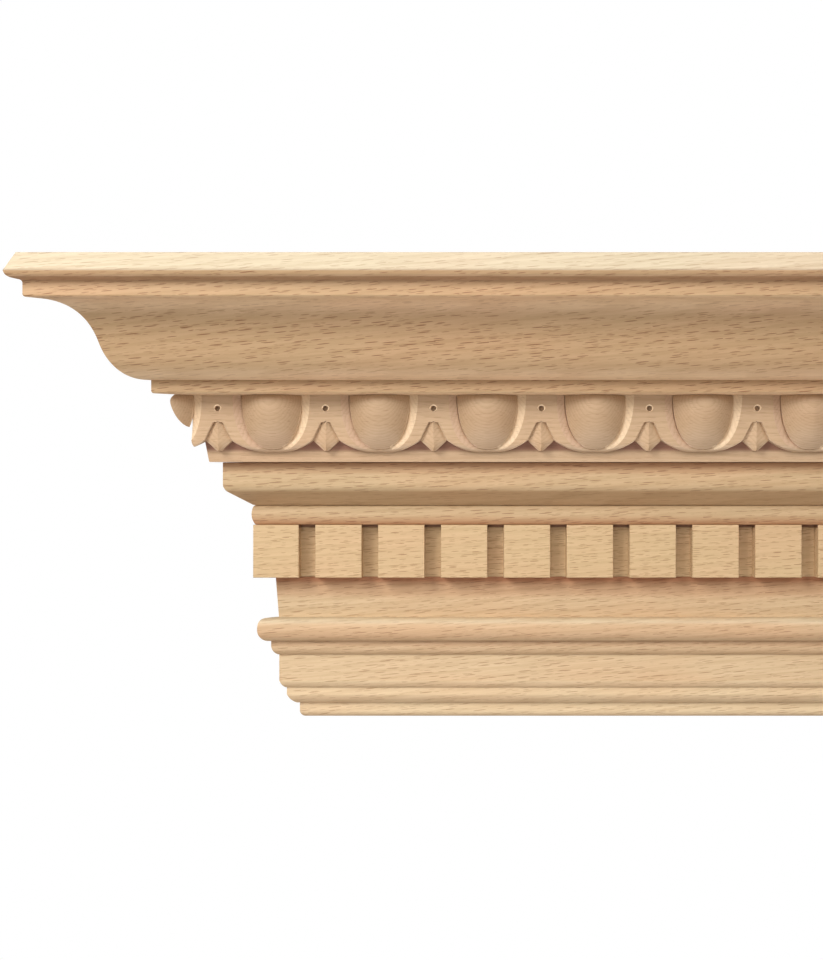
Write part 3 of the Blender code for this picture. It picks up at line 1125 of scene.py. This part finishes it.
    def wing_foot(self, x: float) -> float:
        """Height of the wing's lower edge at a distance from the dart's middle.

        Args:
            x: The distance.

        Returns:
            The height.
        """
        share = (x - self.notch_foot[0]) / (self.pitch / 2 - self.notch_foot[0])
        curved = 0.78
        climb = max(0.0, 1.0 - share / curved) ** 2
        return self.rim + (self.notch_foot[1] - self.rim) * climb

    def stations(self, count: int,
                 groove: float) -> list[tuple[float, Vector, Vector, Vector, float]]:
        """Groove, root, arris, outer edge and bevel width along half a dart, top to rim.

        Args:
            count: Number of steps.
            groove: Width of the groove at the foot of the bevel.

        Returns:
            One tuple per station.
        """
        stops = self.notch_stops
        nudge = 0.004
        apex = Vector((0.0, self.notch_top[1]))
        shoulder = Vector(self.notch_top)
        foot = Vector(self.notch_foot)
        over = Vector((0.0, self.top + self.rise))
        rows: list[tuple[float, Vector, Vector, Vector, float]] = []
        start = 0.0
        for step in range(count + 1):
            share = step / count
            grow = groove * min(1.0, (1.0 - share) / self.groove_fade)
            root = self.egg_side(share, grow)
            ahead = self.egg_side(min(1.0, share + nudge), grow)
            behind = self.egg_side(max(0.0, share - nudge), grow)
            along = (ahead - behind).normalized()
            outward = Vector((along.y, -along.x)) if step < count else Vector((0.0, -1.0))
            spread = 1.0 - (1.0 - min(1.0, (1.0 - share) / self.bevel_fade)) ** 2
            width = self.bevel_least + (self.bevel[0] - self.bevel_least) * spread
            arris = root + outward * width
            if share <= stops[0]:
                outer = over.lerp(apex, share / stops[0])
            elif share <= stops[1]:
                outer = apex.lerp(shoulder, (share - stops[0]) / (stops[1] - stops[0]))
            elif share <= stops[2]:
                outer = shoulder.lerp(foot, (share - stops[1]) / (stops[2] - stops[1]))
                start = arris.x
            else:
                part = (arris.x - start) / (self.pitch / 2 - start)
                x = foot.x + (self.pitch / 2 - foot.x) * min(1.0, max(0.0, part))
                outer = Vector((x, self.wing_foot(x)))
            rows.append((grow, root, arris, outer, width))
        return rows

    def lace_row(self, groove: float, root: Vector, arris: Vector, outer: Vector,
                 width: float) -> list[tuple[Vector, float]]:
        """Points across the dart at one station, each with its depth below the face.

        Args:
            groove: Width of the groove.
            root: Foot of the bevel.
            arris: Top of the bevel.
            outer: Outer edge of the dart.
            width: Width of the bevel.

        Returns:
            The points from the egg outwards.
        """
        deep = self.bevel[1] * min(1.0, 0.25 + 0.75 * width / self.bevel[0])
        inward = (root - arris).normalized()
        bed = [(root + inward * reach, deep + sunk)
               for reach, sunk in ((groove + 1.2 * MM, 2.0 * groove + 0.1 * MM),
                                   (groove * 0.7 + 0.02 * MM, 2.0 * groove + 0.02 * MM))]
        span = (outer - arris).length
        near, rest = (min(width / span, 0.3) for width in self.soft)
        far = 1.0 - rest
        row = bed + [(root, deep)]
        row += [(root.lerp(arris, part), deep * left) for part, left in self.bevel_hollow]
        row += [(arris, self.soft_drop[0]), (arris.lerp(outer, near), 0.0)]
        row += [(arris.lerp(outer, near + (far - near) * part), 0.0) for part in (0.33, 0.67)]
        edge = self.soft_drop[1] if outer.x > 1e-6 else 0.0
        return row + [(arris.lerp(outer, far), 0.03 * edge), (outer, edge)]

    def make_lace(self, darts: Sequence[float]) -> bpy.types.Object:
        """All darts and wings as one closed body.

        Args:
            darts: Middles of the darts.

        Returns:
            The raw body.
        """
        steps = 56
        sides = [(side, [self.lace_row(*station)
                         for station in self.stations(steps, groove)])
                 for side, groove in zip((-1.0, 1.0), self.grooves)]
        across = len(sides[0][1][0]) - 1
        bm = bmesh.new()
        for dart in darts:
            for side, rows in sides:
                grid = bmesh.ops.create_grid(bm, x_segments=across, y_segments=steps, size=0.5)
                for vertex in grid["verts"]:
                    column = round((vertex.co.x + 0.5) * across)
                    row = round((vertex.co.y + 0.5) * steps)
                    (x, z), sunk = rows[row][column]
                    vertex.co = (dart + side * x, sunk - self.face(z), RUN.foot + z)
        bmesh.ops.remove_doubles(bm, verts=bm.verts, dist=0.002 * MM)
        bmesh.ops.recalc_face_normals(bm, faces=bm.faces)
        close_behind(bm, -self.back - self.spare)
        return finish_mesh("lace", bm)

    def make_eggs(self, darts: Sequence[float]) -> bpy.types.Object:
        """The eggs between the darts, straight behind their widest line.

        Args:
            darts: Middles of the darts.

        Returns:
            The raw body.
        """
        bm = bmesh.new()
        for index in range(len(darts) + 1):
            centre = darts[0] + self.pitch * (index - 0.5)
            ball = bmesh.ops.create_uvsphere(bm, u_segments=56, v_segments=40, radius=1.0,
                                             matrix=Matrix.Rotation(math.pi / 2, 4, 'X'))
            for vertex in ball["verts"]:
                x, y, z = vertex.co
                spread = 1.0 if y > 0 else math.hypot(x, z)
                full = (abs(x) ** self.fullness + abs(z) ** self.fullness) ** (1 / self.fullness)
                swell = spread / full if full > 1e-6 else 1.0
                drop = self.egg[1] * z * swell
                aside = self.egg[0] * x * swell
                low = max(0.0, -z * swell)
                ridge = max(0.0, 1.0 - abs(aside) / self.keel[1]) ** 2 * max(0.0, -z)
                brow = max(0.0, 1.0 + (drop + self.rise) / self.egg_brow[0]) ** 2
                tuck = max(0.0, low - self.egg_tuck[1]) / (1.0 - self.egg_tuck[1])
                sunk = (self.egg_brow[1] * min(brow, 2.0) - self.keel[0] * ridge * max(0.0, -y)
                        + self.egg_lean * low + self.egg_tuck[0] * tuck ** 2)
                ahead = self.egg_depth * y * y if y < 0 else -self.egg_tail * y
                vertex.co = (centre + aside, sunk - RUN.front(self.egg_edge) - ahead,
                             RUN.foot + self.top + self.rise + drop)
        return finish_mesh("eggs", bm)

    def make_kites(self, darts: Sequence[float]) -> bpy.types.Object:
        """The ridged tips in the notches of the darts.

        Args:
            darts: Middles of the darts.

        Returns:
            The raw body.
        """
        rows, columns = 14, 8
        head = self.notch_top[1] + self.bury
        wide = self.notch_foot[1]
        tip = self.kite_tip
        bm = bmesh.new()
        for dart in darts:
            grid = bmesh.ops.create_grid(bm, x_segments=columns, y_segments=rows, size=0.5)
            for vertex in grid["verts"]:
                down = vertex.co.y + 0.5
                side = vertex.co.x * 2.0
                if down < self.kite_widest:
                    part = down / self.kite_widest
                    z = head + (wide - head) * part
                    half = self.notch_top[0] + (self.notch_foot[0] - self.notch_top[0]) * part
                    half += self.bury
                else:
                    part = (down - self.kite_widest) / (1.0 - self.kite_widest)
                    z = wide + (tip[1] - wide) * part
                    half = self.notch_foot[0] + self.bury
                    half += (tip[0] - half) * part
                front = self.face(max(z, self.face_turn - self.kite_hang)) - self.kite_sunk
                front -= self.kite_ridge * abs(side)
                vertex.co = (dart + side * half, -front, RUN.foot + z)
            close_behind(bm, -self.back - self.spare)
        return finish_mesh("kites", bm)

    def make_block(self, darts: Sequence[float]) -> bpy.types.Object:
        """Leaning band at the foot, and the ground behind the carving, longer than the run.

        Args:
            darts: Middles of the darts.

        Returns:
            The raw body.
        """
        band, ground, rise = RUN.front(self.band), RUN.front(self.ground[0]), self.ground[1]
        back, up = self.band_ease
        section = Section().to(self.back, self.base).to(band - back, self.base)
        section.bow((band, self.base + up), (ground, self.base + rise), 0.0, steps=14)
        over = self.top + self.spare
        section.to(ground, over).to(self.back, over)
        left = darts[0] - self.pitch / 2
        bm = extruded([(left, -front, RUN.foot + z) for front, z in section.points],
                      (darts[-1] + self.pitch / 2 - left, 0.0, 0.0))
        return finish_mesh("block", bm)

    def make_drills(self, darts: Sequence[float]) -> bpy.types.Object:
        """Cutters for the small eye in every dart: a drilled hole with a sunk edge.

        Args:
            darts: Middles of the darts.

        Returns:
            The raw body.
        """
        bm = bmesh.new()
        radius, rim, z = self.eye
        outline = ((-2.3, 0.0), (-2.0, radius * 0.8), (-1.6, radius), (-0.20, radius),
                   (-0.10, radius * 1.12), (0.02, rim), (1.0, rim * 1.1), (1.0, 0.0))
        for dart in darts:
            middle = Vector((dart, -self.face(z), RUN.foot + z))
            profile = [bm.verts.new(middle + Vector((reach, -ahead * MM, 0.0)))
                       for ahead, reach in outline]
            edges = [bm.edges.new(pair) for pair in zip(profile, profile[1:])]
            bmesh.ops.spin(bm, geom=profile + edges, cent=middle, axis=(0.0, 1.0, 0.0),
                           angle=math.tau, steps=24, use_merge=True)
        bmesh.ops.remove_doubles(bm, verts=bm.verts, dist=0.0005 * MM)
        return finish_mesh("drills", bm)

    def mark_faces(self, bm: bmesh.types.BMesh, darts: Sequence[float]) -> None:
        """Mark the faces that carry painted light and shade: the bevels and the eyes' edges for
        painted light, the ground behind the darts and the eggs for painted shade.

        Args:
            bm: The finished strip.
            darts: Middles of the darts.
        """
        cut, deep, egg = (bm.faces.layers.float.new(source.value)
                          for source in (Source.CUT, Source.GROUND_SHADE, Source.EGG_SHADE))
        start, reach = self.shadow
        margin, shallow, deep_from = 1.05, 0.2 * MM, 1.6 * MM
        bm.normal_update()
        for face in bm.faces:
            middle = face.calc_center_median()
            height = middle.z - RUN.foot
            sunk = self.face(height) + middle.y
            offset = min((middle.x - dart for dart in darts), key=abs)
            aside = (self.pitch / 2 - abs(offset)) / self.opening[0]
            below = (self.top + self.rise - height) / self.opening[1]
            spans = [math.hypot(vert.co.x - middle.x + offset, vert.co.z - RUN.foot - self.eye[2])
                     for vert in face.verts]
            # Painted highlight round the eyes' sunk edges.
            if max(spans) < self.eye[1] * margin and sunk < shallow:
                face[cut] = PaintedFacetLight.EYE.value
            # Painted shade on the ground behind the darts, growing upwards.
            if sunk > deep_from and face.normal.y < -0.9 and height < self.notch_foot[1]:
                face[deep] = min(1.0, max(0.0, (height - self.base - start) / reach))
            outside = aside ** self.fullness + max(0.0, below) ** self.fullness > 0.985
            near = aside < 1.0 + self.bevel[0] / self.opening[0] * margin
            # Painted light on the darts' left and right bevels.
            if outside and near and 0.0 < sunk < self.bevel[1] and abs(face.normal.x) > 0.16:
                face[cut] = (PaintedFacetLight.LEFT if offset < 0.0 else PaintedFacetLight.RIGHT).value
            # Painted shade down the eggs.
            if not outside:
                face[egg] = min(1.0, max(0.0, below))

    def build(self) -> bpy.types.Object:
        """Unite the carved bodies, drill the eyes and cut the strip to the run.

        Returns:
            The strip's object.
        """
        darts = self.darts()
        block = self.make_block(darts)
        helpers = {self.make_lace(darts): 'UNION', self.make_eggs(darts): 'UNION',
                   self.make_kites(darts): 'UNION', self.make_drills(darts): 'DIFFERENCE'}
        for helper, operation in helpers.items():
            joint = block.modifiers.new(helper.name, 'BOOLEAN')
            joint.operation = operation
            joint.solver = 'EXACT'
            joint.object = helper
        shaped = block.evaluated_get(bpy.context.evaluated_depsgraph_get())
        bm = bmesh.new()
        bm.from_mesh(shaped.to_mesh())
        shaped.to_mesh_clear()
        for helper in (block, *helpers):
            bpy.data.objects.remove(helper, do_unlink=True)
        RUN.slice(bm, (0.0, 0.0, RUN.foot + self.top), (0.0, 0.0, 1.0))
        RUN.cut_ends(bm)
        bmesh.ops.dissolve_degenerate(bm, dist=0.004 * MM, edges=bm.edges)
        self.mark_faces(bm, darts)
        return finish_mesh(self.node + "_wood", bm, crease=28.0)


def long_flecks(strength: float, shift: float) -> Flecks:
    """The larger scatter of ray flecks."""
    return Flecks((5.2 * MM, 0.9 * MM, 1.35 * MM), (2.45 * MM, 0.65 * MM, 0.15 * MM),
                  0.88, strength, shift)


def short_flecks(strength: float, shift: float) -> Flecks:
    """The finer scatter of ray flecks."""
    return Flecks((3.8 * MM, 0.7 * MM, 0.85 * MM), (1.7 * MM, 0.48 * MM, 0.11 * MM),
                  0.75, strength, shift)


@dataclass(frozen=True)
class Lamp:
    """A square soft lamp that faces the moulding.

    Attributes:
        name: Name of the lamp.
        place: Where it hangs.
        size: Width of its face.
        power: Watts.
    """

    name: str
    place: Sequence[float]
    size: float
    power: float

    def hang(self) -> None:
        """Put the lamp in the scene."""
        data = bpy.data.lights.new(self.name, 'AREA')
        data.shape = 'SQUARE'
        data.size = self.size
        data.energy = self.power
        data.color = (1.0, 1.0, 0.985)
        lamp = bpy.data.objects.new(self.name, data)
        lamp.location = self.place
        lamp.rotation_euler = (-Vector(self.place)).to_track_quat('-Z', 'Y').to_euler()
        bpy.context.scene.collection.objects.link(lamp)


LAMPS = (Lamp("left_window", (-0.52, -0.62, 0.39), 0.38, 5.5),
         Lamp("right_window", (0.50, -0.80, 0.43), 0.45, 3.1),
         Lamp("top_window", (-0.1, -0.50, 1.25), 0.6, 8.0),
         Lamp("front_window", (-0.20, -0.95, 0.08), 0.5, 2.0),
         Lamp("table_glow", (-0.05, -0.24, -0.26), 0.3, 0.18))


class Studio:
    """Camera, lamps, floor and the white surroundings."""

    def camera(self) -> None:
        """Stand square to the front, with the frame moved to the left of the eye."""
        data = bpy.data.cameras.new("camera")
        data.lens = 52.5
        data.sensor_width = 36.0
        data.shift_x = -0.065
        data.clip_start = 0.01
        camera = bpy.data.objects.new("camera", data)
        camera.location = (-41.5 * MM, -472.3 * MM, 7.1 * MM)
        camera.rotation_euler = (math.pi / 2, 0.0, 0.0)
        bpy.context.scene.collection.objects.link(camera)
        bpy.context.scene.camera = camera

    def floor(self) -> None:
        """Lay a plain pale floor well below the moulding."""
        bm = bmesh.new()
        bmesh.ops.create_grid(bm, x_segments=1, y_segments=1, size=0.75,
                              matrix=Matrix.Translation((0.0, -0.05, -0.45)))
        floor = finish_mesh("floor", bm)
        graph = Graph(bpy.data.materials.new("pale_floor"))
        graph.finish('Material', graph.add('BsdfPrincipled', {
            'Base Color': (0.66, 0.65, 0.63, 1.0), 'Roughness': 0.8}))
        floor.data.materials.append(graph.owner)

    def surroundings(self) -> None:
        """Seen directly the surroundings are white; as a source of light they are softer."""
        world = bpy.data.worlds.new("surroundings")
        bpy.context.scene.world = world
        graph = Graph(world)
        height = graph.add('TexCoord', {}, 'Generated').part('Z')
        light = graph.add('Background', {'Color': (1.0, 0.80, 0.66, 1.0),
                                         'Strength': height.step(-0.5, 0.7) * 0.28 + 0.03})
        white = graph.add('Background', {'Color': (1.0, 1.0, 1.0, 1.0), 'Strength': 1.0})
        choice = graph.add('MixShader', {'Fac': graph.add('LightPath', {}, 'Is Camera Ray')})
        graph.tree.links.new(light.socket, choice.socket.node.inputs[1])
        graph.tree.links.new(white.socket, choice.socket.node.inputs[2])
        graph.finish('World', choice)

    def build(self) -> None:
        """Set the whole studio up."""
        view = bpy.context.scene.view_settings
        view.view_transform = 'Standard'
        view.gamma = 0.86
        self.camera()
        self.floor()
        self.surroundings()
        for lamp in LAMPS:
            lamp.hang()


def members() -> list[Member]:
    """The five lengths of wood, from the top down, each from a board of its own.

    Returns:
        The members.
    """
    crown = Beech(
        "tan_beech_crown", (0.565, 0.40, 0.243), (0.585, 0.395, 0.24),
        (long_flecks(0.92, 0.0), short_flecks(0.6, 5.0)),
        # Painted light: paler on faces turned up, and much paler on faces turned down as if lit from
        # below; painted shade in the crease under the nose.
        tints=(PaintedLight(Source.UP, 0.12, 0.34, (0.94, 1.15, 1.40)),
               PaintedLight(Source.UP, -0.62, -0.96, (1.46, 1.57, 1.78)),
               PaintedLight(Source.SHADE, 0.0, 1.0, (0.58, 0.48, 0.42))),
        tilt=0.09)
    carved = Beech(
        "pale_carved_beech", (0.58, 0.425, 0.285), (0.585, 0.41, 0.27),
        (short_flecks(0.30, 31.0),),
        # Painted light on the darts' left bevels and a painted highlight round the eyes, painted
        # shade on the ground behind the darts and down the eggs, painted light on the right bevels
        # and on faces turned down.
        tints=(PaintedLight(Source.CUT, 0.4, 0.6, (1.28, 1.38, 1.46)),
               PaintedLight(Source.CUT, 1.4, 1.6, (1.22, 1.24, 1.26)),
               PaintedLight(Source.GROUND_SHADE, 0.0, 1.0, (0.57, 0.43, 0.46)),
               PaintedLight(Source.EGG_SHADE, 0.2, 0.5, (0.92, 0.90, 0.88)),
               PaintedLight(Source.CUT, -0.4, -0.6, (1.06, 1.06, 1.14)),
               PaintedLight(Source.UP, -0.25, -0.6, (1.08, 1.12, 1.20))),
        tilt=0.0, ring_lean=(1.0, -0.2), ring_pitch=0.62 * MM, ring_depth=0.065, streak=0.14,
        shift=40.0)
    bed = Beech(
        "tan_beech_bed", (0.555, 0.418, 0.262), (0.575, 0.408, 0.252),
        (long_flecks(0.75, 60.0), short_flecks(0.5, 66.0)),
        # Painted shade: warmer and darker on faces turned down, and darker and redder at the marked
        # heights under the carved strip and at the bead's foot.
        tints=(PaintedLight(Source.UP, -0.5, -0.9, (0.95, 0.88, 0.84)),
               PaintedLight(Source.SHADE, 0.0, 1.0, (0.78, 0.48, 0.36))),
        tilt=0.06, shift=80.0)
    dentil = Beech(
        "yellow_beech_dentils", (0.60, 0.455, 0.28), (0.61, 0.44, 0.275),
        (short_flecks(0.8, 90.0), long_flecks(0.5, 97.0)),
        # Painted shadow on the head of every gap's floor, under the bed moulding.
        tints=(PaintedLight(Source.SHADE, 0.4, 0.6, (0.50, 0.40, 0.42)),),
        tilt=0.06, streak=0.18, shift=120.0)
    board = Beech(
        "pale_beech_board", (0.63, 0.49, 0.325), (0.64, 0.47, 0.305),
        (long_flecks(0.62, 140.0), short_flecks(0.45, 147.0)),
        # Painted shade, a little warmer, on faces turned down; painted light on faces turned up;
        # painted shade at the marked heights under the members above; painted light of the table on
        # the low fasciae.
        tints=(PaintedLight(Source.UP, -0.25, -0.62, (1.0, 0.97, 0.96)),
               PaintedLight(Source.UP, 0.15, 0.55, (1.02, 1.12, 1.22)),
               PaintedLight(Source.SHADE, 0.0, 1.0, (0.76, 0.50, 0.42)),
               PaintedLight(Source.SHADE, -0.4, -0.6, (1.08, 1.12, 1.15))),
        tilt=0.09, shift=160.0)
    return [Crown(crown), EggAndDart(carved), BedMoulding(bed), DentilStrip(dentil),
            Architrave(board)]


def main() -> None:
    """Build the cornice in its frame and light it."""
    logging.basicConfig(level=logging.INFO, format="%(message)s")
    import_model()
    for member in members():
        member.place()
    Studio().build()
    bpy.context.view_layer.update()


if __name__ == "__main__":
    main()
